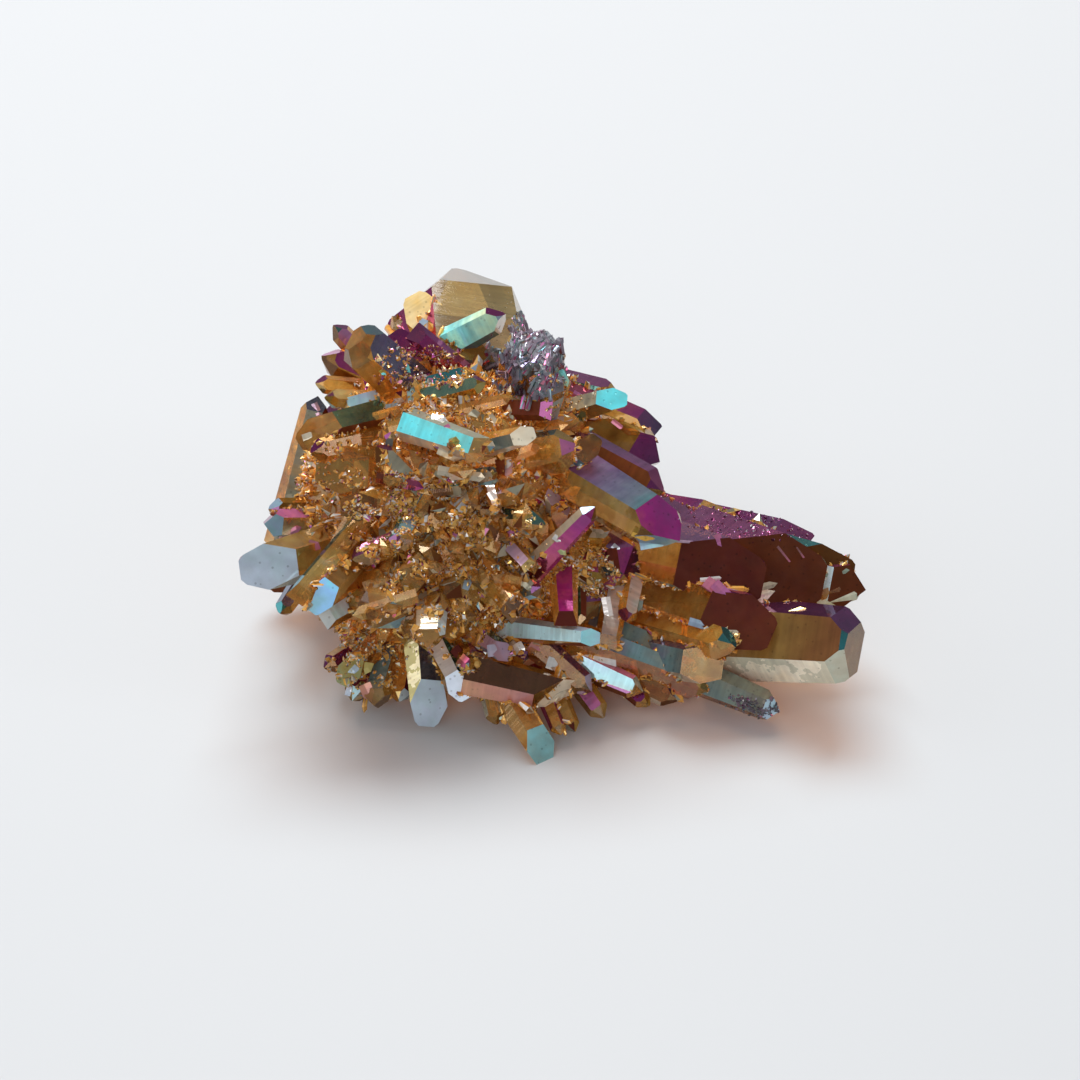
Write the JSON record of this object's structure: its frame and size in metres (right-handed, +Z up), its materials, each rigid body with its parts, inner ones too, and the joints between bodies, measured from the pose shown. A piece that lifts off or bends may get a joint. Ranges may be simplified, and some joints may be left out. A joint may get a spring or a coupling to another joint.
{
  "type": "aura quartz cluster",
  "caption": "Metal-coated quartz cluster: pointed six-sided crystals that radiate from one root mass, with a longer prong to one side, cut off flat underneath to rest on a shelf.",
  "frame": {"origin": "middle of the footprint box, on the surface that the cluster rests on", "axes": "+X from the root mass to the side of the long prong, +Z up, -Y to the picture's viewer"},
  "size_m": [0.0764, 0.0618, 0.0419],
  "materials": {
    "coated_quartz": "polished crystal faces under a thin metal film: honey amber body, violet, magenta, teal and gold sheen"
  },
  "bodies": {
    "root": {"crystal_cluster": "coated_quartz"}
  },
  "joints": []
}
